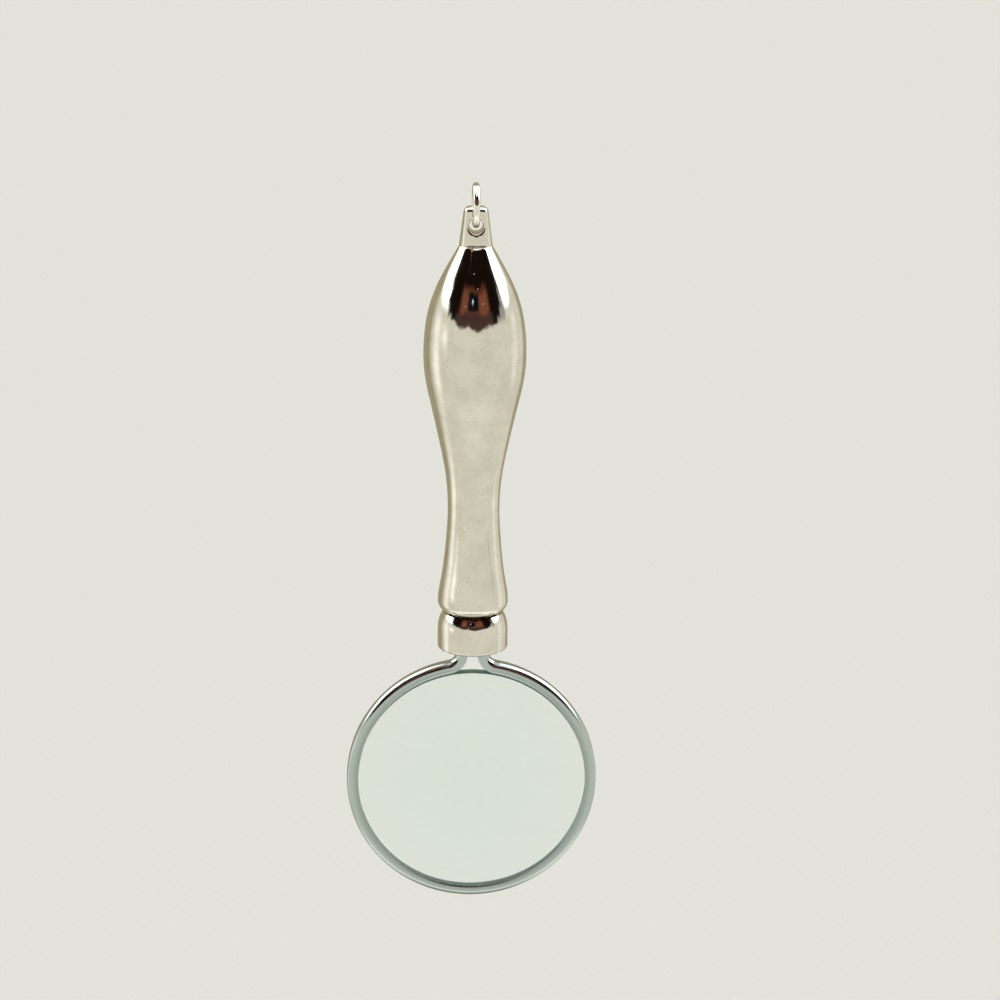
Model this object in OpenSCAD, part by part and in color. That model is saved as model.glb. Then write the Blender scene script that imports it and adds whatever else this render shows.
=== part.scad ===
// Magnifier pendant: a spindle handle with a pierced lug on a jump ring, a collar, a channel rim and a glass lens.
// Millimetres. The origin is the inside top of the jump ring, where the pendant hangs. +Z is up, -Y is the front.

/* [Jump ring] */
// Outside diameter of the jump ring
ring_od = 8; // [7.8:0.05:8.4]
// Thickness of the jump ring's round wire
ring_wire = 1.25; // [1:0.05:1.3]

/* [Lug] */
// Drop from the hang point to the top of the lug
lug_top = 2.9; // [2.8:0.05:3.2]
// Rounding of the lug's top edges, front and back
lug_round = 0.9; // [0.6:0.05:1.1]
// Drop from the hang point to the axis of the lug's hole
hole_drop = 6.2; // [6.15:0.01:6.3]
// Diameter of the lug's hole
hole_d = 2.5; // [2.5:0.05:2.8]
// Width of the bevel round both mouths of the hole
hole_bevel = 0.35; // [0.25:0.05:0.45]
// Radius of the round neck where the handle's body begins
neck_base_r = 2.95; // [2.8:0.05:3.1]
// Radius of the round neck just below its rounded top
neck_top_r = 2.2; // [2:0.05:2.4]
// Half thickness of the lug, front to back, where the body begins
flat_base = 2.15; // [2:0.05:2.3]
// Half thickness of the lug just below its rounded top edges
flat_top = 1.4; // [1.3:0.05:1.45]

/* [Handle] */
// Drop from the hang point to the edge where the lug meets the body
crease = 9.85; // [9.6:0.05:10.1]
// Drop from the hang point to the handle's lower end
handle_end = 76.6; // [76:0.05:77]
// Radius of the rounding above the groove
foot_round = 2; // [1:0.1:2.2]
// How far that rounding turns in, in degrees
foot_turn = 60; // [45:7.5:75]
// Radius of the spigot that holds the ferrule
spigot_r = 4.4; // [3.8:0.1:4.6]
// Length of the spigot
spigot_len = 3; // [2:0.1:3.2]

/* [Ferrule] */
// Drop from the hang point to the ferrule's lower face
ferrule_end = 83.5; // [83:0.1:84]
// Rounding of the ferrule's lower edge
ferrule_round = 0.55; // [0.2:0.05:0.8]
// Thickness of the ferrule's floor
ferrule_floor = 1.5; // [1:0.1:2]

/* [Rim] */
// Outside diameter of the rim
rim_od = 45.4; // [44:0.1:46]
// Drop from the hang point to the rim's centre
rim_drop = 108.5; // [108:0.1:109]
// Width of the rim's channel, front to back
rim_w = 3.3; // [3.1:0.1:3.6]
// Depth of the rim's channel, from its back to its lips
rim_depth = 2.05; // [1.9:0.05:2.3]
// Radius of the channel's two rounded back corners
rim_round = 1.15; // [0.8:0.05:1.4]
// Width of the groove in the channel
groove_w = 2.5; // [2.3:0.1:2.7]
// Thickness of metal behind the groove
rim_back = 0.85; // [0.7:0.05:1]
// Angle from the rim's top to where each rim end leaves the ring
bend_angle = 11.1; // [10.7:0.1:11.6]
// Inner radius of the bend between the ring and each rim end
leg_bend = 1.8; // [1.4:0.1:2.2]

/* [Lens] */
// Diameter of the lens
lens_d = 42; // [41.8:0.1:42.2]
// Thickness of the lens at its edge
lens_edge = 2; // [1.6:0.1:2.1]
// Radius of curvature of both faces
lens_curve = 130; // [120:1:200]
// How far the lens sits below the rim's centre
lens_sag = 0.6; // [0.4:0.05:0.7]

/* [Hidden] */

// Running or assembly gap between two pieces
gap = 0.1;
// Sides of a full circle: on turned shapes, on the rim, on small rounds and on the lens's large spheres
round_sides = 96;
rim_sides = 192;
small_sides = 48;
sphere_sides = 360;
// Points drawn between two rows of a profile table
steps = 5;
// Degrees between two points on the rounded edge of a turned outline
edge_step = 7.5;
// Extra length of a cutter beyond what it cuts
over = 1;

// Radius of the jump ring's wire line, and the height of the ring's centre
ring_line_r = (ring_od - ring_wire) / 2;
ring_centre = ring_wire - ring_od / 2;

// The handle's body, a row for each section: [drop from the hang point, radius]
body_rows = [
    [crease, neck_base_r],
    [13.0, 4.73],
    [16.2, 6.40],
    [19.4, 7.70],
    [22.6, 8.52],
    [27.7, 9.06],
    [32.8, 8.86],
    [38.8, 7.63],
    [44.9, 6.25],
    [51.0, 5.07],
    [57.6, 4.61],
    [64.0, 4.96],
    [70.6, 5.77],
    [handle_end - foot_round, 6.30]
];

// The ferrule's outside: [drop from the hang point, radius]
ferrule_rows = [
    [handle_end + gap, 5.42],
    [77.2, 5.69],
    [77.8, 5.94],
    [78.5, 6.14],
    [79.3, 6.26],
    [80.2, 6.30],
    [ferrule_end - ferrule_round, 6.30]
];

// How much the lug thickens for each millimetre of drop, below its rounded top edges
lug_lean = (flat_base - flat_top) / (crease - lug_top - lug_round);

// Where the bends of the rim ends turn, and how far the ends stand out and up
// Each rim end laps into the ring by these degrees, and is this much slimmer, to lie inside its metal
bend_lap = 4;
end_trim = 0.03;
rim_r = rim_od / 2;
bend_reach = rim_r + leg_bend;
bend_x = bend_reach * sin(bend_angle);
bend_z = bend_reach * cos(bend_angle) - rim_drop;
leg_out = bend_x - leg_bend;
leg_top = -(handle_end + spigot_len + 2 * gap);

// Last row of a profile table
function last(rows) = rows[len(rows) - 1];

// Slope of radius against drop at row i, from its two neighbours, or its only one at the table's ends
function slope(rows, i) =
    let (
        above = rows[max(i - 1, 0)],
        below = rows[min(i + 1, len(rows) - 1)]
    )
    (below[1] - above[1]) / (below[0] - above[0]);

// Radius at the fraction t between rows i and i + 1, on a smooth cubic
function smooth_r(rows, i, t) =
    let (
        span = rows[i + 1][0] - rows[i][0],
        rise_in = slope(rows, i) * span,
        rise_out = slope(rows, i + 1) * span,
        a = rows[i][1],
        b = rows[i + 1][1]
    )
    (2 * t * t * t - 3 * t * t + 1) * a + (t * t * t - 2 * t * t + t) * rise_in
        + (3 * t * t - 2 * t * t * t) * b + (t * t * t - t * t) * rise_out;

// Smooth outline through a profile table, as [radius, height] points from the top down
function outline(rows) = concat(
    [for (i = [0 : len(rows) - 2], k = [0 : steps - 1])
        let (t = k / steps)
        [smooth_r(rows, i, t), -(rows[i][0] + t * (rows[i + 1][0] - rows[i][0]))]],
    [[last(rows)[1], -last(rows)[0]]]
);

// One side of the lug's outline, from its top down into the body: half breadths, and the rounding at the top
function lug_half(top, radius, base) = concat(
    [for (a = [90 : -edge_step : 0]) [top - radius + radius * cos(a), -lug_top - radius + radius * sin(a)]],
    [[base, -crease], [base, -crease - over]]
);

// Points on the rounded edge below a profile table's last row, turning in under it
function edge_round(rows, radius, turn) =
    [for (a = [edge_step : edge_step : turn])
        [last(rows)[1] - radius + radius * cos(a), -last(rows)[0] - radius * sin(a)]];

// One ring of round wire, standing in the plane that runs front to back
module jump_ring() {
    color("silver")
    translate([0, 0, ring_centre])
    rotate([0, 90, 0])
    rotate_extrude($fn = round_sides)
    translate([ring_line_r, 0])
    circle(d = ring_wire, $fn = small_sides);
}

// The round neck of the lug, with a rounded top edge
module neck() {
    rotate_extrude($fn = round_sides)
    polygon(concat(
        [[0, -lug_top]],
        lug_half(neck_top_r, neck_top_r / 2, neck_base_r),
        [[0, -crease - over]]
    ));
}

// Side view of the lug: two flats that lean together under rounded top edges
module lug_side() {
    front = lug_half(flat_top, lug_round, flat_base);
    polygon(concat(
        front,
        [for (i = [len(front) - 1 : -1 : 0]) [-front[i][0], front[i][1]]]
    ));
}

// The hole through the lug, with a bevel at each mouth
module lug_hole() {
    hole_r = hole_d / 2;
    mouth = flat_top + lug_lean * (hole_drop - lug_top - lug_round);
    bevel_h = hole_bevel + over;
    translate([0, 0, -hole_drop])
    rotate([90, 0, 0]) {
        cylinder(r = hole_r, h = 2 * (flat_base + over), center = true, $fn = small_sides);
        for (side = [0, 1])
            mirror([0, 0, side])
            translate([0, 0, mouth - hole_bevel])
            cylinder(r1 = hole_r, r2 = hole_r + bevel_h, h = bevel_h, $fn = small_sides);
    }
}

// The handle: a pierced lug, the spindle body and the spigot for the ferrule, in one casting
module handle() {
    color("silver") {
        difference() {
            intersection() {
                neck();
                rotate([90, 0, 90])
                linear_extrude(height = 2 * (neck_base_r + over), center = true)
                lug_side();
            }
            lug_hole();
        }
        rotate_extrude($fn = round_sides)
        polygon(concat(
            [[0, -body_rows[0][0]]],
            outline(body_rows),
            edge_round(body_rows, foot_round, foot_turn),
            [
                [spigot_r, -handle_end],
                [spigot_r, -handle_end - spigot_len],
                [0, -handle_end - spigot_len]
            ]
        ));
    }
}

// The ferrule: a collar over the spigot, with a slot in its floor for the two rim ends
module ferrule() {
    color("silver")
    difference() {
        rotate_extrude($fn = round_sides)
        polygon(concat(
            [[0, -handle_end - gap]],
            outline(ferrule_rows),
            edge_round(ferrule_rows, ferrule_round, 90),
            [[0, -ferrule_end]]
        ));
        translate([0, 0, -ferrule_end + ferrule_floor])
        cylinder(r = spigot_r + gap, h = ferrule_end - ferrule_floor - handle_end + over, $fn = round_sides);
        translate([0, 0, -ferrule_end])
        cube([2 * (leg_out + gap), rim_w + 2 * gap, 2 * ferrule_floor + over], center = true);
    }
}

// Section of the rim's channel: its back at x = 0, its lips towards -x, and each face in by trim
module channel(trim = 0) {
    corner_y = rim_w / 2 - rim_round;
    difference() {
        union() {
            for (side = [-1, 1])
                translate([-rim_round, side * corner_y])
                circle(r = rim_round - trim, $fn = small_sides);
            translate([-rim_round, -corner_y])
            square([rim_round - trim, 2 * corner_y]);
            translate([-rim_depth + trim, trim - rim_w / 2])
            square([rim_depth - rim_round - trim, rim_w - 2 * trim]);
        }
        translate([-rim_depth - over, -groove_w / 2 - trim])
        square([rim_depth - rim_back + over - trim, groove_w + 2 * trim]);
    }
}

// One rim end: the bend out of the ring and the straight leg into the ferrule
module rim_end() {
    translate([bend_x, 0, bend_z])
    rotate([90, 0, 0])
    rotate_extrude(angle = 90 - bend_angle + bend_lap, start = 180, $fn = small_sides)
    translate([leg_bend, 0])
    mirror([1, 0])
    channel(end_trim);
    translate([leg_out, 0, bend_z])
    linear_extrude(height = leg_top - bend_z)
    channel(end_trim);
}

// The rim: a channel bent to a ring round the lens, with both ends turned up
module rim() {
    color("lightsteelblue") {
        translate([0, 0, -rim_drop])
        rotate([90, 0, 0])
        rotate_extrude(angle = 360 - 2 * bend_angle, start = 90 + bend_angle, $fn = rim_sides)
        translate([rim_r, 0])
        channel();
        for (side = [0, 1])
            mirror([side, 0, 0])
            rim_end();
    }
}

// The lens: a glass disc with two domed faces
module lens() {
    half_edge = lens_edge / 2;
    lens_r = lens_d / 2;
    dome = sqrt(lens_curve * lens_curve - lens_r * lens_r);
    color("honeydew")
    translate([0, 0, -rim_drop - lens_sag])
    rotate([90, 0, 0])
    intersection() {
        cylinder(r = lens_r, h = lens_d, center = true, $fn = rim_sides);
        translate([0, 0, half_edge - dome])
        sphere(r = lens_curve, $fn = sphere_sides);
        translate([0, 0, dome - half_edge])
        sphere(r = lens_curve, $fn = sphere_sides);
    }
}

jump_ring();
handle();
ferrule();
rim();
lens();
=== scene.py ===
# Magnifier pendant, dressed for the camera. Sizes are in millimetres, and MM turns them to metres.
# Drops are measured downward from the hang point, as a maker measures a pendant on its hook.

import math

import bmesh
import bpy
from mathutils import Matrix, Vector


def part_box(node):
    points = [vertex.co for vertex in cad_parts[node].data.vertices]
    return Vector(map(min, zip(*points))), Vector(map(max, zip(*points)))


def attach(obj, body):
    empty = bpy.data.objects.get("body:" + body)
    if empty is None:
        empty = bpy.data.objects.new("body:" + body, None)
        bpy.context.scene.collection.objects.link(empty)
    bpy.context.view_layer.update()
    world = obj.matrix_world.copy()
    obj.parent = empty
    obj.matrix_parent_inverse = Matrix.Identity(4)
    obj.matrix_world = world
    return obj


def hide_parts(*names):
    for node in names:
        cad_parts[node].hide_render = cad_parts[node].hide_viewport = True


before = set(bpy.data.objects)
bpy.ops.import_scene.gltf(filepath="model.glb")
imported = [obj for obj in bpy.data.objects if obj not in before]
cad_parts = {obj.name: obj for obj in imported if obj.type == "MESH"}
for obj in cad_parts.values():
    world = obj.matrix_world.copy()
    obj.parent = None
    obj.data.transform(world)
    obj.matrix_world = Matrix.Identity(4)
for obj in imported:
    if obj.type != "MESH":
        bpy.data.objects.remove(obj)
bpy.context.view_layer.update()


# Jump ring
# A short length of drawn brass wire, wound on a mandrel, cut, closed and then plated with the rest.
# Its two butted ends meet in a hairline seam, which lies at the back, low on the ring.

MM = 0.001
ring_low, ring_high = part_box("jump_ring")
wire_r = (ring_high.x - ring_low.x) / 2 / MM
ring_r = (ring_high.z - ring_low.z) / 2 / MM - wire_r
ring_drop = -(ring_high.z + ring_low.z) / 2 / MM
ring_steps = 240
wire_sides = 40
seam_at = math.radians(128)
seam_depth = 0.05
seam_width = math.radians(1.6)
weld_within = 0.00001


def linear(code):
    """Turns a six-figure sRGB hex colour to linear red, green, blue and a full alpha."""
    shares = [int(code[i : i + 2], 16) / 255 for i in (0, 2, 4)]
    return (*[s / 12.92 if s <= 0.04045 else ((s + 0.055) / 1.055) ** 2.4 for s in shares], 1.0)


def add_node(tree, kind, inputs=None, **settings):
    """Adds a node with its settings. Each input is a plain value, or the socket that feeds it."""
    node = tree.nodes.new(kind)
    for name, value in settings.items():
        setattr(node, name, value)
    for key, value in (inputs or {}).items():
        if isinstance(value, bpy.types.NodeSocket):
            tree.links.new(value, node.inputs[key])
        else:
            node.inputs[key].default_value = value
    return node


def new_material(name):
    """A material with an empty node tree."""
    material = bpy.data.materials.new(name)
    material.use_nodes = True
    material.node_tree.nodes.clear()
    return material


def millimetres(tree):
    """The place on the piece, in millimetres, for patterns that have a real size."""
    place = add_node(tree, "ShaderNodeTexCoord")
    return add_node(
        tree, "ShaderNodeVectorMath", {0: place.outputs["Object"], "Scale": 1 / MM}, operation="SCALE"
    ).outputs[0]


def skin(name, rows, loop=False, sharp_over=30):
    """A mesh skinned over rows of points. Each row closes on itself, and the rows may close in a loop too."""
    count = len(rows[0])
    faces = []
    for i in range(len(rows) if loop else len(rows) - 1):
        here = i * count
        there = (i + 1) % len(rows) * count
        for k in range(count):
            after = (k + 1) % count
            faces.append((here + k, here + after, there + after, there + k))
    mesh = bpy.data.meshes.new(name)
    mesh.from_pydata([Vector(p) * MM for row in rows for p in row], [], faces)
    form = bmesh.new()
    form.from_mesh(mesh)
    bmesh.ops.remove_doubles(form, verts=form.verts, dist=weld_within * MM)
    bmesh.ops.recalc_face_normals(form, faces=form.faces)
    form.to_mesh(mesh)
    form.free()
    piece = bpy.data.objects.new(name, mesh)
    bpy.context.scene.collection.objects.link(piece)
    shade(piece, sharp_over)
    return piece


def shade(piece, sharp_over):
    """Smooth shading, with a hard line where two faces meet at more than so many degrees."""
    piece.data.shade_smooth()
    piece.data.set_sharp_from_angle(angle=math.radians(sharp_over))


def finish_piece(piece, node, body, material):
    """Gives the piece its material, hides the solid it stands for, and hangs it on its body."""
    piece.data.materials.clear()
    piece.data.materials.append(material)
    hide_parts(node)
    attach(piece, body)


# The wire is followed round from its top towards the back, and thins to a groove at the seam
ring_rows = []
for i in range(ring_steps):
    turn = math.tau * i / ring_steps
    off_seam = abs(turn - seam_at) / seam_width
    wire = wire_r - seam_depth * max(0, 1 - off_seam)
    row = []
    for k in range(wire_sides):
        lean = math.tau * k / wire_sides
        reach = ring_r + wire * math.cos(lean)
        row.append((wire * math.sin(lean), reach * math.sin(turn), reach * math.cos(turn) - ring_drop))
    ring_rows.append(row)
jump_ring = skin("jump_ring_wire", ring_rows, loop=True)

# Bright plate on drawn wire: nearly a mirror, with a faint uneven haze from tumbling
wire_plate = new_material("bright_plated_wire")
tree = wire_plate.node_tree
haze_size = 0.5
haze_depth = 0.01
haze = add_node(
    tree, "ShaderNodeTexNoise", {"Vector": millimetres(tree), "Scale": 1 / haze_size, "Detail": 3.0}
)
wire_roughness = add_node(
    tree, "ShaderNodeMapRange", {"Value": haze.outputs[0], "To Min": 0.05, "To Max": 0.13}
)
wire_bump = add_node(
    tree, "ShaderNodeBump", {"Height": haze.outputs[0], "Strength": 0.35, "Distance": haze_depth * MM}
)
wire_surface = add_node(
    tree,
    "ShaderNodeBsdfPrincipled",
    {
        "Base Color": linear("F7F5EF"),
        "Metallic": 1.0,
        "Roughness": wire_roughness.outputs[0],
        "Normal": wire_bump.outputs[0],
    },
)
add_node(tree, "ShaderNodeOutputMaterial", {"Surface": wire_surface.outputs[0]})
finish_piece(jump_ring, "jump_ring", "jump_ring", wire_plate)


# Handle
# One zinc-alloy casting: a lug with flattened front and back, a spindle body, and a spigot at its foot.
# It was die cast in two halves, tumbled, drilled through the lug, and plated bright.

handle_low, handle_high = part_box("handle")

# The lug: a round neck, pressed flat in front and behind, down to the crease where it meets the body. The
# flats are measured from the middle.
lug_top = -handle_high.z / MM
lug_round = 0.9
hole_drop = 6.2
hole_r = 1.25
mouth_round = 0.55
neck_top_r = 2.2
neck_base_r = 2.95
neck_round = neck_top_r / 2
flat_top = 1.4
flat_base = 2.15
crease = 9.85

# The foot of the body, and the spigot that the collar hides
foot_drop = 74.6
foot_round = 2.0
foot_turn = 60
spigot_r = 4.4
spigot_start = 76.6
spigot_end = -handle_low.z / MM

# Drop and radius of the turned body, from the lug to where its foot turns under
body_rows = [
    (crease, neck_base_r),
    (13.0, 4.73),
    (16.2, 6.40),
    (19.4, 7.70),
    (22.6, 8.52),
    (27.7, 9.06),
    (32.8, 8.86),
    (38.8, 7.63),
    (44.9, 6.25),
    (51.0, 5.07),
    (57.6, 4.61),
    (64.0, 4.96),
    (70.6, 5.77),
    (foot_drop, 6.30),
]


def flowing(rows):
    """Radius as a function of drop: a cubic spline through the rows, unbent at its top, level at its foot."""
    drops = [row[0] for row in rows]
    spans = [b - a for a, b in zip(drops, drops[1:])]
    rates = [(b[1] - a[1]) / span for a, b, span in zip(rows, rows[1:], spans)]
    last = len(rows) - 1
    bends = [0.0] * (last + 1)
    ratios = [0.0] * (last + 1)
    for i in range(1, last + 1):
        ahead = spans[i] if i < last else 0
        rate_ahead = rates[i] if i < last else 0
        pivot = 2 * (spans[i - 1] + ahead) - spans[i - 1] * ratios[i - 1]
        ratios[i] = ahead / pivot
        bends[i] = (6 * (rate_ahead - rates[i - 1]) - spans[i - 1] * bends[i - 1]) / pivot
    for i in range(last - 1, 0, -1):
        bends[i] -= ratios[i] * bends[i + 1]

    def radius(drop):
        i = max(k for k in range(last) if k == 0 or drops[k] <= drop)
        span = spans[i]
        before = drops[i + 1] - drop
        after = drop - drops[i]
        curve = (bends[i] * before**3 + bends[i + 1] * after**3) / (6 * span)
        start = (rows[i][1] / span - bends[i] * span / 6) * before
        end = (rows[i + 1][1] / span - bends[i + 1] * span / 6) * after
        return curve + start + end

    return radius


body_radius = flowing(body_rows)

# The power that rounds the corners between the lug's flats and its sides: the higher, the sharper
corner_power = 14


def lug_half(drop, top, rounding, base):
    """Half the lug's breadth at a drop, from its rounded top to its base."""
    shoulder = lug_top + rounding
    if drop < shoulder:
        return top - rounding + math.sqrt(max(0, rounding**2 - (shoulder - drop) ** 2))
    return top + (base - top) * (drop - shoulder) / (crease - shoulder)


def lug_point(drop, turn):
    """A point on the lug: a round neck pressed between two flats, with soft corners."""
    round_r = lug_half(drop, neck_top_r, neck_round, neck_base_r)
    depth = lug_half(drop, flat_top, lug_round, flat_base)
    side = round_r * math.sin(turn)
    pressed = side / (1 + (abs(side) / depth) ** corner_power) ** (1 / corner_power)
    return round_r * math.cos(turn), pressed


# The lug's rows lie closer together at its top, where it curves over
handle_sides = 160
lug_steps = 44
turns = [math.tau * k / handle_sides for k in range(handle_sides)]
handle_rows = [[(0, 0, -lug_top)] * handle_sides]
for i in range(lug_steps + 1):
    drop = lug_top + (crease - lug_top) * (1 - math.cos(math.pi / 2 * i / lug_steps))
    handle_rows.append([(*lug_point(drop, turn), -drop) for turn in turns])

# The small ledge where the flats end on the body, with a fillet inside it and a rounded edge outside it.
# It takes the place of the lug's last row, and is nearly nothing at the sides, where the neck is round.
ledge_least = 0.02
ledge_soft = 0.07
ledge_turn = 56
ledge_steps = 4
ledge_feet = []
for x, y, _ in handle_rows.pop():
    inner = min(math.hypot(x, y), neck_base_r - ledge_least)
    ledge_feet.append((math.atan2(y, x), inner, min(ledge_soft, (neck_base_r - inner) / 2)))
for i in range(ledge_steps + 1):
    lean = math.pi / 2 * i / ledge_steps
    row = []
    for turn, inner, soft in ledge_feet:
        r = inner + soft * (1 - math.cos(lean))
        row.append((r * math.cos(turn), r * math.sin(turn), soft * (1 - math.sin(lean)) - crease))
    handle_rows.append(row)
for i in range(ledge_steps + 1):
    lean = math.radians(ledge_turn * i / ledge_steps)
    row = []
    for turn, _, soft in ledge_feet:
        r = neck_base_r - soft * (1 - math.sin(lean))
        row.append((r * math.cos(turn), r * math.sin(turn), -crease - soft * (1 - math.cos(lean))))
    handle_rows.append(row)

# The turned body, whose rows even out from the lug's uneven spacing to a regular one
body_step = 0.3
settle = 2.4
body_steps = round((foot_drop - crease) / body_step)
for i in range(1, body_steps + 1):
    drop = crease + (foot_drop - crease) * i / body_steps
    stay = max(0, 1 - (drop - crease) / settle)
    r = body_radius(drop)
    row = []
    for turn, (foot_at, _, _) in zip(turns, ledge_feet):
        at = turn + math.remainder(foot_at - turn, math.tau) * stay
        row.append((r * math.cos(at), r * math.sin(at), -drop))
    handle_rows.append(row)

# The foot curves under, then slopes in to the spigot
foot_steps = 14
foot_r = body_rows[-1][1]
under = [math.radians(foot_turn * i / foot_steps) for i in range(1, foot_steps + 1)]
tail = [(foot_r - foot_round + foot_round * math.cos(a), foot_drop + foot_round * math.sin(a)) for a in under]
tail += [(spigot_r, spigot_start), (spigot_r, spigot_end), (0, spigot_end)]
for r, drop in tail:
    handle_rows.append([(r * math.cos(turn), r * math.sin(turn), -drop) for turn in turns])
handle_sharp = 20
handle = skin("handle_casting", handle_rows, sharp_over=handle_sharp)


def cut(piece, cutter, sharp_over):
    """Cuts the cutter's form out of the piece, and takes the cutter away."""
    tool = piece.modifiers.new("cut", "BOOLEAN")
    tool.operation = "DIFFERENCE"
    tool.solver = "EXACT"
    tool.object = cutter
    bpy.context.view_layer.objects.active = piece
    bpy.ops.object.modifier_apply(modifier=tool.name)
    bpy.data.objects.remove(cutter)
    shade(piece, sharp_over)


# The drill that makes the lug's hole. Its ends lean with the flats, and round the mouths over.
mouth = lug_half(hole_drop, flat_top, lug_round, flat_base)
lug_lean = (flat_base - flat_top) / (crease - lug_top - lug_round)
lip_steps = 8
lip_turn = 80
lip_tail = 0.5
lip = []
for i in range(lip_steps + 1):
    lean = math.radians(lip_turn * i / lip_steps)
    lip.append((mouth - mouth_round * (1 - math.sin(lean)), hole_r + mouth_round * (1 - math.cos(lean))))
lip.append((lip[-1][0] + lip_tail * math.cos(lean), lip[-1][1] + lip_tail * math.sin(lean)))
lip.append((lip[-1][0], 0))
spool = [(-y, r) for y, r in reversed(lip)] + lip
drill_sides = 72
drill_turns = [math.tau * k / drill_sides for k in range(drill_sides)]
drill_rows = []
for y, r in spool:
    row = []
    for turn in drill_turns:
        rise = r * math.sin(turn)
        row.append((r * math.cos(turn), y * (1 - lug_lean * rise / mouth), rise - hole_drop))
    drill_rows.append(row)
cut(handle, skin("lug_drill", drill_rows), handle_sharp)

# Nickel-silver plate over the casting: a warm mirror. The casting's skin shows through as a fine ripple,
# which frays the edges of what it mirrors, as a broad swell, which bends them, and as patches of pinholes.
casting_plate = new_material("nickel_plated_casting")
tree = casting_plate.node_tree
place = millimetres(tree)
ripple_size = 0.9
ripple_depth = 0.003
swell_size = 3.5
swell_depth = 0.03
ripple = add_node(
    tree, "ShaderNodeTexNoise", {"Vector": place, "Scale": 1 / ripple_size, "Detail": 2.0, "Roughness": 0.5}
)
swell = add_node(tree, "ShaderNodeTexNoise", {"Vector": place, "Scale": 1 / swell_size, "Detail": 1.0})

# Pinholes lie where a broad noise is high. Each has a flat floor and a sloping side.
pit_spacing = 1.0
pit_r = 0.11
pit_floor_r = 0.4 * pit_r
pit_depth = 0.04
patch_size = 9.0
patch_from = 0.42
patch_full = 0.54
pits = add_node(
    tree, "ShaderNodeTexVoronoi", {"Vector": place, "Scale": 1 / pit_spacing, "Randomness": 1.0}
)
pit_edge = add_node(
    tree,
    "ShaderNodeMapRange",
    {
        "Value": pits.outputs["Distance"],
        "From Min": pit_floor_r / pit_spacing,
        "From Max": pit_r / pit_spacing,
        "To Min": 1.0,
        "To Max": 0.0,
    },
    interpolation_type="SMOOTHSTEP",
)
patches = add_node(tree, "ShaderNodeTexNoise", {"Vector": place, "Scale": 1 / patch_size, "Detail": 2.0})
pit_here = add_node(
    tree,
    "ShaderNodeMapRange",
    {"Value": patches.outputs[0], "From Min": patch_from, "From Max": patch_full},
    interpolation_type="SMOOTHSTEP",
)
pit_mask = add_node(
    tree, "ShaderNodeMath", {0: pit_edge.outputs[0], 1: pit_here.outputs[0]}, operation="MULTIPLY"
)


def between(tree, value, low, high, soft):
    """One inside the range, nothing outside it, with edges that fade over the soft width on both sides."""
    inside = None
    for start, end in ((low - soft, low + soft), (high + soft, high - soft)):
        edge = add_node(
            tree,
            "ShaderNodeMapRange",
            {"Value": value, "From Min": start, "From Max": end},
            interpolation_type="SMOOTHSTEP",
        ).outputs[0]
        if inside is None:
            inside = edge
        else:
            inside = add_node(tree, "ShaderNodeMath", {0: inside, 1: edge}, operation="MULTIPLY").outputs[0]
    return inside


# One long shallow scratch on the front, low on the body and a little to the right. Its ends are x and drop.
scratch_top = (2.4, 62.1)
scratch_foot = (3.6, 72.3)
scratch_w = 0.07
scratch_fade = 0.05
scratch_taper = 2
scratch_weight = 0.45
front_y = (-20, -1)
front_fade = 0.5
scratch_lean = (scratch_foot[0] - scratch_top[0]) / (scratch_foot[1] - scratch_top[1])
across = add_node(
    tree, "ShaderNodeVectorMath", {0: place, 1: (1, 0, scratch_lean)}, operation="DOT_PRODUCT"
).outputs["Value"]
across_at = scratch_top[0] - scratch_lean * scratch_top[1]
place_parts = add_node(tree, "ShaderNodeSeparateXYZ", {"Vector": place})
scratch_sides = between(tree, across, across_at - scratch_w, across_at + scratch_w, scratch_fade)
scratch_ends = between(tree, place_parts.outputs["Z"], -scratch_foot[1], -scratch_top[1], scratch_taper)
scratch_front = between(tree, place_parts.outputs["Y"], *front_y, front_fade)
scratch = add_node(tree, "ShaderNodeMath", {0: scratch_sides, 1: scratch_ends}, operation="MULTIPLY")
scratch = add_node(
    tree, "ShaderNodeMath", {0: scratch.outputs[0], 1: scratch_front}, operation="MULTIPLY"
)
marks = add_node(
    tree,
    "ShaderNodeMath",
    {0: scratch.outputs[0], 1: scratch_weight, 2: pit_mask.outputs[0]},
    operation="MULTIPLY_ADD",
)

ripple_bump = add_node(
    tree, "ShaderNodeBump", {"Height": ripple.outputs[0], "Strength": 1.0, "Distance": ripple_depth * MM}
)
swell_bump = add_node(
    tree,
    "ShaderNodeBump",
    {
        "Height": swell.outputs[0],
        "Strength": 1.0,
        "Distance": swell_depth * MM,
        "Normal": ripple_bump.outputs[0],
    },
)
mark_bump = add_node(
    tree,
    "ShaderNodeBump",
    {
        "Height": marks.outputs[0],
        "Strength": 1.0,
        "Distance": pit_depth * MM,
        "Normal": swell_bump.outputs[0],
    },
    invert=True,
)

# Handling leaves smudges, which dull the plate and darken it a little, and the marks hold tarnish. The span
# holds the levels that such a noise mostly keeps between.
smudge_size = 4.0
noise_span = {"From Min": 0.3, "From Max": 0.7}
mottle_from = 0.35
mottle_full = 0.65
smudge = add_node(
    tree, "ShaderNodeTexNoise", {"Vector": place, "Scale": 1 / smudge_size, "Detail": 5.0, "Roughness": 0.65}
)
casting_roughness = add_node(
    tree, "ShaderNodeMapRange", {"Value": smudge.outputs[0], **noise_span, "To Min": 0.04, "To Max": 0.11}
)
mottle = add_node(
    tree,
    "ShaderNodeMapRange",
    {"Value": smudge.outputs[0], "From Min": mottle_from, "From Max": mottle_full},
    interpolation_type="SMOOTHSTEP",
)
plate = add_node(
    tree, "ShaderNodeMix", {0: mottle.outputs[0], 6: linear("F0EDE2"), 7: linear("E4E2D8")}, data_type="RGBA"
)
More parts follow.
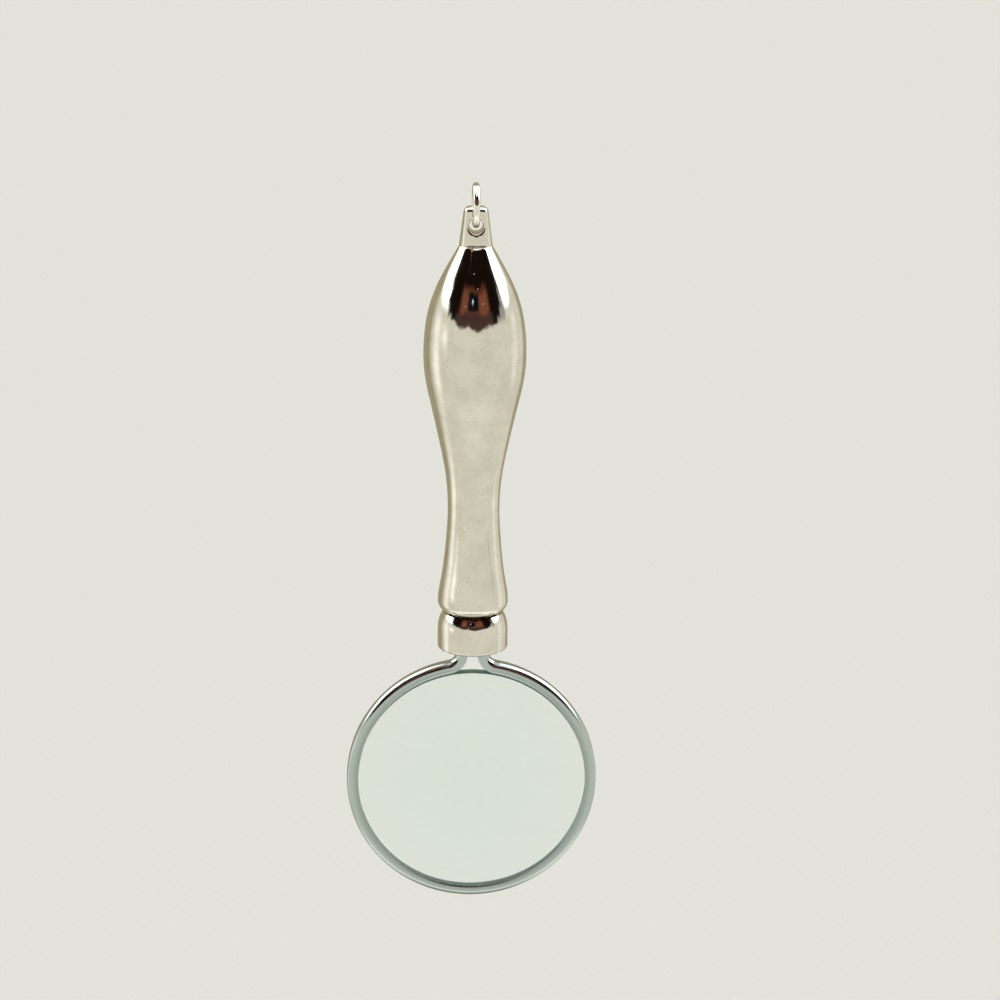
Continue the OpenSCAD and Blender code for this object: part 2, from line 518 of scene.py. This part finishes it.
tarnish = add_node(
    tree,
    "ShaderNodeMix",
    {0: marks.outputs[0], 6: plate.outputs[2], 7: linear("8F8878")},
    data_type="RGBA",
)
casting_surface = add_node(
    tree,
    "ShaderNodeBsdfPrincipled",
    {
        "Base Color": tarnish.outputs[2],
        "Metallic": 1.0,
        "Roughness": casting_roughness.outputs[0],
        "Normal": mark_bump.outputs[0],
    },
)
add_node(tree, "ShaderNodeOutputMaterial", {"Surface": casting_surface.outputs[0]})
finish_piece(handle, "handle", "magnifier", casting_plate)


# Ferrule
# A drawn brass collar with a rounded shoulder, pushed over the spigot and plated with the handle.
# The slot in its floor was pierced for the two ends of the rim.

ferrule_low, ferrule_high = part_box("ferrule")
collar_top = -ferrule_high.z / MM
collar_end = -ferrule_low.z / MM
collar_r = 6.30
collar_round = 0.55
collar_floor = 1.5
bore_r = 4.5
slot_w = 6.0
slot_depth = 3.5
round_from = collar_end - collar_round

# Drop and radius of the collar's outside, from its shoulder to where its lower edge rounds under
collar_rows = [
    (collar_top, 5.42),
    (77.2, 5.69),
    (77.8, 5.94),
    (78.5, 6.14),
    (79.3, 6.26),
    (80.2, collar_r),
    (round_from, collar_r),
]
collar_radius = flowing(collar_rows)

# The collar's wall, as radius and drop: down the outside, across the foot, and up inside the bore
collar_step = 0.12
collar_sides = 160
collar_line = []
collar_steps = round((round_from - collar_top) / collar_step)
for i in range(collar_steps + 1):
    drop = collar_top + (round_from - collar_top) * i / collar_steps
    collar_line.append((collar_radius(drop), drop))
edge_steps = 8
for i in range(1, edge_steps + 1):
    lean = math.pi / 2 * i / edge_steps
    r = collar_r - collar_round + collar_round * math.cos(lean)
    collar_line.append((r, round_from + collar_round * math.sin(lean)))
collar_line += [(0, collar_end), (0, collar_end - collar_floor)]
collar_line += [(bore_r, collar_end - collar_floor), (bore_r, collar_top), collar_line[0]]
collar_turns = [math.tau * k / collar_sides for k in range(collar_sides)]
collar_sharp = 25
ferrule = skin(
    "ferrule_collar",
    [[(r * math.cos(a), r * math.sin(a), -drop) for a in collar_turns] for r, drop in collar_line],
    sharp_over=collar_sharp,
)

# The punch that pierces the slot reaches a little past both faces of the floor
punch_over = 1
punch_low = -collar_end - punch_over
punch_high = -collar_end + collar_floor + punch_over
slot_corners = [(x * slot_w / 2, y * slot_depth / 2) for x, y in ((-1, -1), (1, -1), (1, 1), (-1, 1))]
punch_rows = [
    [(0, 0, punch_low)] * len(slot_corners),
    [(x, y, punch_low) for x, y in slot_corners],
    [(x, y, punch_high) for x, y in slot_corners],
    [(0, 0, punch_high)] * len(slot_corners),
]
cut(ferrule, skin("slot_punch", punch_rows), collar_sharp)
finish_piece(ferrule, "ferrule", "magnifier", casting_plate)


# Rim
# A steel strip rolled to a channel, curled to a ring round the glass and nickel plated bright.
# Its two ends are bent up side by side and held in the ferrule's slot.

rim_low, rim_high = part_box("rim")
rim_r = (rim_high.x - rim_low.x) / 2 / MM
rim_drop = -rim_low.z / MM - rim_r
rim_half_w = (rim_high.y - rim_low.y) / 2 / MM
leg_top = -rim_high.z / MM

# The channel: its depth, the rounding of its back, half its groove, the wall at its back, and its lips
rim_depth = 2.05
back_round = 1.15
groove_half_w = 1.25
rim_back = 0.85
lip_round = 0.1
lip_fall = 0.15

# The bend from the ring to a leg starts so many degrees from the ring's top
bend_at = 11.1
bend_r = 1.8
bend_x = (rim_r + bend_r) * math.sin(math.radians(bend_at))
bend_drop = rim_drop - (rim_r + bend_r) * math.cos(math.radians(bend_at))


def corner(depth, across, radius, start, steps):
    """Points round a quarter of a rounded corner of the channel, from the direction start, in degrees."""
    leans = [math.radians(start + 90 * i / steps) for i in range(steps + 1)]
    return [(depth + radius * math.cos(a), across + radius * math.sin(a)) for a in leans]


# One half of the channel's section, as depth from its back and distance from its middle. It runs from the
# back round to the side, along the lip, which is a little crowned and falls away towards the glass, and
# down the inside. The corner at the lip's edge leaves out its first point, where the crown ends.
back_steps = 10
crown_steps = 6
lip_edge_steps = 6
lip_groove_steps = 4
lip_in = rim_depth - lip_round
half_section = corner(back_round, rim_half_w - back_round, back_round, 180, back_steps)
half_section = [(depth, 2 * (rim_half_w - back_round) - across) for depth, across in half_section]
for i in range(1, crown_steps + 1):
    share = i / crown_steps
    half_section.append((back_round + (lip_in - back_round) * share, rim_half_w - lip_fall * share**2))
half_section += corner(lip_in, rim_half_w - lip_fall - lip_round, lip_round, 0, lip_edge_steps)[-2::-1]
half_section += corner(lip_in, groove_half_w + lip_round, lip_round, 270, lip_groove_steps)[::-1]
half_section += [(rim_back, groove_half_w)]
rim_section = half_section + [(depth, -across) for depth, across in reversed(half_section)]

# The path of the channel's back, as place (x, drop) and the way its lips face. It runs down the left leg,
# through the bend and round the ring to its foot, and the right half is its mirror.
rim_path = []
leg_x = bend_x - bend_r
for drop in (leg_top, (leg_top + bend_drop) / 2):
    rim_path.append(((-leg_x, drop), (1, 0)))
bend_steps = 18
for i in range(bend_steps):
    lean = math.radians((90 - bend_at) * i / bend_steps)
    facing = (math.cos(lean), math.sin(lean))
    rim_path.append(((-bend_x + bend_r * facing[0], bend_drop + bend_r * facing[1]), facing))
half_ring_steps = 180
for i in range(half_ring_steps + 1):
    lean = math.radians(bend_at + (180 - bend_at) * i / half_ring_steps)
    facing = (math.sin(lean), math.cos(lean))
    rim_path.append(((-rim_r * facing[0], rim_drop - rim_r * facing[1]), facing))
rim_path += [((-x, drop), (-face_x, face_drop)) for (x, drop), (face_x, face_drop) in reversed(rim_path[:-1])]
rim_rows = []
for (x, drop), (face_x, face_drop) in rim_path:
    rim_rows.append(
        [(x + depth * face_x, across, -(drop + depth * face_drop)) for depth, across in rim_section]
    )

# Each cut end is closed from a point in the middle of the channel's back wall
end_x = leg_x - rim_back / 2
rim_rows.insert(0, [(-end_x, 0, -leg_top)] * len(rim_section))
rim_rows.append([(end_x, 0, -leg_top)] * len(rim_section))
rim = skin("rim_channel", rim_rows, sharp_over=28)

# Bright nickel on rolled strip: a cool mirror with a faint grain, softer than the casting's. Its colour is
# painted darker next to the glass, as painted shade where the lip turns in towards the lens.
strip_plate = new_material("nickel_plated_strip")
tree = strip_plate.node_tree
place = millimetres(tree)
grain_size = 0.7
grain_depth = 0.006
strip_haze_size = 2.5
shade_full_to = 20.9
shade_gone_from = 21.9
grain = add_node(
    tree, "ShaderNodeTexNoise", {"Vector": place, "Scale": 1 / grain_size, "Detail": 4.0, "Roughness": 0.6}
)
strip_bump = add_node(
    tree, "ShaderNodeBump", {"Height": grain.outputs[0], "Strength": 1.0, "Distance": grain_depth * MM}
)
strip_haze = add_node(
    tree, "ShaderNodeTexNoise", {"Vector": place, "Scale": 1 / strip_haze_size, "Detail": 3.0}
)
strip_roughness = add_node(
    tree,
    "ShaderNodeMapRange",
    {"Value": strip_haze.outputs[0], **noise_span, "To Min": 0.1, "To Max": 0.19},
)
from_centre = add_node(tree, "ShaderNodeVectorMath", {0: place, 1: (0, 0, rim_drop)}, operation="ADD")
in_plane = add_node(
    tree, "ShaderNodeVectorMath", {0: from_centre.outputs[0], 1: (1, 0, 1)}, operation="MULTIPLY"
)
rim_reach = add_node(tree, "ShaderNodeVectorMath", {0: in_plane.outputs[0]}, operation="LENGTH")
# Painted shade: the plate's colour darkens over the last millimetre before the glass, and is full strength
# further out
clear_of_painted_shade = add_node(
    tree,
    "ShaderNodeMapRange",
    {"Value": rim_reach.outputs["Value"], "From Min": shade_full_to, "From Max": shade_gone_from},
    interpolation_type="SMOOTHSTEP",
)
nickel = add_node(
    tree,
    "ShaderNodeMix",
    {0: clear_of_painted_shade.outputs[0], 6: linear("ADB9B8"), 7: linear("C4D1D0")},
    data_type="RGBA",
)
strip_surface = add_node(
    tree,
    "ShaderNodeBsdfPrincipled",
    {
        "Base Color": nickel.outputs[2],
        "Metallic": 1.0,
        "Roughness": strip_roughness.outputs[0],
        "Normal": strip_bump.outputs[0],
    },
)
add_node(tree, "ShaderNodeOutputMaterial", {"Surface": strip_surface.outputs[0]})
finish_piece(rim, "rim", "magnifier", strip_plate)


# Lens
# A round of clear crown glass, ground and polished to the same curve on both faces.
# Its edge was left as ground, with a small safety bevel, and it sits low in the rim's groove.

lens_low, lens_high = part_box("lens")
lens_r = (lens_high.x - lens_low.x) / 2 / MM
lens_drop = -(lens_high.z + lens_low.z) / 2 / MM
lens_half = (lens_high.y - lens_low.y) / 2 / MM
lens_curve = 130.0
bevel = 0.15
lens_sides = 192
lens_rings = 40
dome = lens_curve - lens_half
face_r = lens_r - bevel

# Radius and half thickness of the glass, from its middle to the edge of the polished face
face_line = []
for i in range(lens_rings + 1):
    r = face_r * i / lens_rings
    face_line.append((r, math.sqrt(lens_curve**2 - r**2) - dome))
edge_half = math.sqrt(lens_curve**2 - lens_r**2) - dome - bevel
lens_line = [(r, -y) for r, y in face_line] + [(lens_r, -edge_half), (lens_r, 0), (lens_r, edge_half)]
lens_line += reversed(face_line)
lens_turns = [math.tau * k / lens_sides for k in range(lens_sides)]
lens = skin(
    "lens_glass",
    [[(r * math.cos(a), y, r * math.sin(a) - lens_drop) for a in lens_turns] for r, y in lens_line],
)

# Crown glass: clear through its thickness, and green along its width, as iron in the melt shows there.
# The ground edge is hazy and green, and scatters light back into the glass.
glass_ior = 1.52
melt_density = 18.0
polished_glass = new_material("polished_crown_glass")
ground_glass = new_material("ground_glass_edge")
for material, colour, roughness, clearness in (
    (polished_glass, "FBFFFC", 0.0, 1.0),
    (ground_glass, "B4E4CC", 0.35, 0.3),
):
    tree = material.node_tree
    glass = add_node(
        tree,
        "ShaderNodeBsdfPrincipled",
        {
            "Base Color": linear(colour),
            "Roughness": roughness,
            "IOR": glass_ior,
            "Transmission Weight": clearness,
        },
    )
    melt = add_node(
        tree, "ShaderNodeVolumeAbsorption", {"Color": linear("95E6DC"), "Density": melt_density}
    )
    add_node(
        tree, "ShaderNodeOutputMaterial", {"Surface": glass.outputs[0], "Volume": melt.outputs[0]}
    )
finish_piece(lens, "lens", "magnifier", polished_glass)

# Every face outside the polished ones belongs to the ground edge
lens.data.materials.append(ground_glass)
for face in lens.data.polygons:
    centre = face.center / MM
    if math.hypot(centre.x, centre.z + lens_drop) > face_r:
        face.material_index = 1


# Studio
# The pendant hangs over a plain pale floor, in a room lit by two broad soft lights, one on each side.
# The room in front, behind the camera, is dark and a little warm, and polished metal shows it.

floor_drop = 190
floor_r = 6000
floor_sides = 128
floor_mesh = bpy.data.meshes.new("floor")
form = bmesh.new()
bmesh.ops.create_circle(form, cap_ends=True, segments=floor_sides, radius=floor_r * MM)
bmesh.ops.translate(form, verts=form.verts, vec=(0, 0, -floor_drop * MM))
form.to_mesh(floor_mesh)
form.free()
floor = bpy.data.objects.new("floor", floor_mesh)
bpy.context.scene.collection.objects.link(floor)

# Polished metal shows the room's own lower half, and not this floor
floor.visible_glossy = False

# Off-white board, painted matt, so it mirrors nothing
board = new_material("matt_white_board")
tree = board.node_tree
board_surface = add_node(tree, "ShaderNodeBsdfDiffuse", {"Color": linear("D1D3CE")})
add_node(tree, "ShaderNodeOutputMaterial", {"Surface": board_surface.outputs[0]})
floor_mesh.materials.append(board)

# Directions in the room, in degrees: azimuth from straight in front, positive to the right, and elevation
world = bpy.data.worlds.new("studio")
bpy.context.scene.world = world
world.use_nodes = True
tree = world.node_tree
tree.nodes.clear()
way = add_node(tree, "ShaderNodeTexCoord").outputs["Generated"]
way_parts = add_node(tree, "ShaderNodeSeparateXYZ", {"Vector": way})
forward = add_node(tree, "ShaderNodeMath", {0: way_parts.outputs["Y"], 1: -1.0}, operation="MULTIPLY")
around = add_node(
    tree, "ShaderNodeMath", {0: way_parts.outputs["X"], 1: forward.outputs[0]}, operation="ARCTAN2"
)
azimuth = add_node(tree, "ShaderNodeMath", {0: around.outputs[0]}, operation="DEGREES").outputs[0]
rise = add_node(tree, "ShaderNodeMath", {0: way_parts.outputs["Z"]}, operation="ARCSINE")
elevation = add_node(tree, "ShaderNodeMath", {0: rise.outputs[0]}, operation="DEGREES").outputs[0]

# Things that stand about the room, some two to a radian, break up its edges by so many degrees
clutter_to_radian = 2.2
clutter_reach = 3.0
clutter = add_node(
    tree,
    "ShaderNodeTexNoise",
    {"Vector": way, "Scale": clutter_to_radian, "Detail": 1.5, "Roughness": 0.6},
)
clutter_rise = add_node(
    tree,
    "ShaderNodeMapRange",
    {"Value": clutter.outputs[0], **noise_span, "To Min": -clutter_reach, "To Max": clutter_reach},
)
uneven = add_node(
    tree, "ShaderNodeMath", {0: elevation, 1: clutter_rise.outputs[0]}, operation="ADD"
).outputs[0]

# What the metal mirrors, each part over those before it. The columns are its colour, its brightness against
# a white board, its azimuths, its elevations, how many degrees its sides fade over, how many its upper and
# lower edges fade over, and whether clutter breaks up those edges. A part that goes all round has no sides.
all_round = (-300, 300)
room_parts = (
    # Pale walls in front and at the sides, a white table below them, and a grey floor underfoot
    ("DEDBCE", 1.0, (-121, 136), (-200, 20), 10, 4, False),
    ("FFFDF2", 1.1, (-121, 136), (-66, -44), 10, 8, False),
    ("98A29C", 1.0, all_round, (-120, -72), 1, 7, False),
    # A small window and a white door post at the left, and a white post at the right
    ("FFFDF6", 1.3, (-82, -68), (-7, 3), 9, 6, True),
    ("FFFBF2", 1.1, (-108, -90), (-30, 8), 8, 6, False),
    ("F4F1E6", 1.0, (92, 108), (-24, 8), 8, 6, False),
    # A white ceiling, with a warm beam at the left
    ("FDFDFF", 1.3, all_round, (54, 120), 1, 2, False),
    ("B87C58", 0.9, (-86, -24), (55, 80), 5, 3, True),
    # The two soft lights, the right one wider at its top, and a grey screen beside it
    ("FFFEFC", 3.0, (-148, -78), (16, 62), 2, 5, True),
    ("FFFEFC", 3.0, (79, 148), (17, 62), 2, 5, True),
    ("FFFEFC", 3.0, (70, 148), (30, 62), 2, 3, True),
    ("A3A8A6", 0.9, (56, 79), (9, 28), 3, 4, True),
    # The dark room in front, which widens upward in steps
    ("160D09", 1.0, (-64, 55), (10, 53), 3, 1, True),
    ("160D09", 1.0, (-74, 63), (13, 53), 2, 2, True),
    ("160D09", 1.0, (-81, 70), (18, 53), 2, 3, False),
    ("160D09", 1.0, (-89, 78), (27, 53), 2, 4, False),
    # Its brown floor, a warm doorway in it, and an upright dark form with a spark on it in the doorway
    ("483430", 1.0, (-50, 42), (8, 19), 6, 2, True),
    ("483430", 1.0, (-34, 26), (6.5, 12), 8, 1.5, True),
    ("8A5440", 0.8, (-42, 35), (19, 37), 6, 3, True),
    ("7A4630", 0.6, (-26, 24), (34, 40), 5, 2, True),
    ("0B1018", 1.0, (-22, 8), (20, 36), 4, 2, True),
    ("E8F0FF", 1.8, (-11, -8), (28, 30.5), 0.8, 0.8, False),
    # A small warm lamp, high in the dark room
    ("FFC890", 1.2, (-36, -28), (48, 51), 2, 1.5, False),
)

# Whatever no part covers is a greyish tan wall
room = linear("A69D84")
for code, brightness, sides, rises, sides_fade, rises_fade, ragged in room_parts:
    beside = between(tree, azimuth, *sides, sides_fade)
    level = between(tree, uneven if ragged else elevation, *rises, rises_fade)
    mask = add_node(tree, "ShaderNodeMath", {0: beside, 1: level}, operation="MULTIPLY").outputs[0]
    red, green, blue, _ = linear(code)
    lit = (red * brightness, green * brightness, blue * brightness, 1.0)
    room = add_node(tree, "ShaderNodeMix", {0: mask, 6: room, 7: lit}, data_type="RGBA").outputs[2]
lights = add_node(tree, "ShaderNodeBackground", {"Color": room, "Strength": 1.0})

# The camera sees a plain pale backdrop in place of the room, also through the glass
backdrop = add_node(tree, "ShaderNodeBackground", {"Color": linear("E3E4DA"), "Strength": 1.0})
seen = add_node(tree, "ShaderNodeLightPath")
seen_plain = add_node(
    tree,
    "ShaderNodeMath",
    {0: seen.outputs["Is Camera Ray"], 1: seen.outputs["Is Transmission Ray"]},
    operation="MAXIMUM",
)
both = add_node(
    tree, "ShaderNodeMixShader", {0: seen_plain.outputs[0], 1: lights.outputs[0], 2: backdrop.outputs[0]}
)
add_node(tree, "ShaderNodeOutputWorld", {"Surface": both.outputs[0]})

# The picture shows colours as they are, with no film curve
bpy.context.scene.view_settings.view_transform = "Standard"


# Camera
# A long lens, somewhat above the pendant and a little to its left, looks slightly down on it.
# It leans by a fraction of a degree, and shows the pendant whole, with room on every side.

camera_away = 600
camera_azimuth = -2.5
camera_elevation = 15.5
camera_lens = 121.06
camera_roll = 0.6
near_limit = 50
far_limit = 20000

# The middle of the picture lies at this drop, and so far to the right of the pendant's axis
aim_drop = 56.04
aim_right = 4.7

camera_data = bpy.data.cameras.new("camera")
camera_data.lens = camera_lens
camera_data.sensor_width = 36
camera_data.clip_start = near_limit * MM
camera_data.clip_end = far_limit * MM
camera = bpy.data.objects.new("camera", camera_data)
bpy.context.scene.collection.objects.link(camera)
bpy.context.scene.camera = camera
side = math.radians(camera_azimuth)
above = math.radians(camera_elevation)
back = Vector((math.sin(side) * math.cos(above), -math.cos(side) * math.cos(above), math.sin(above)))
roll = Matrix.Rotation(math.radians(camera_roll), 3, "Z")
camera_turn = (-back).to_track_quat("-Z", "Y").to_matrix() @ roll
aim = Vector((0, 0, -aim_drop)) + camera_turn @ Vector((aim_right, 0, 0))
camera.matrix_world = Matrix.Translation((aim + back * camera_away) * MM) @ camera_turn.to_4x4()
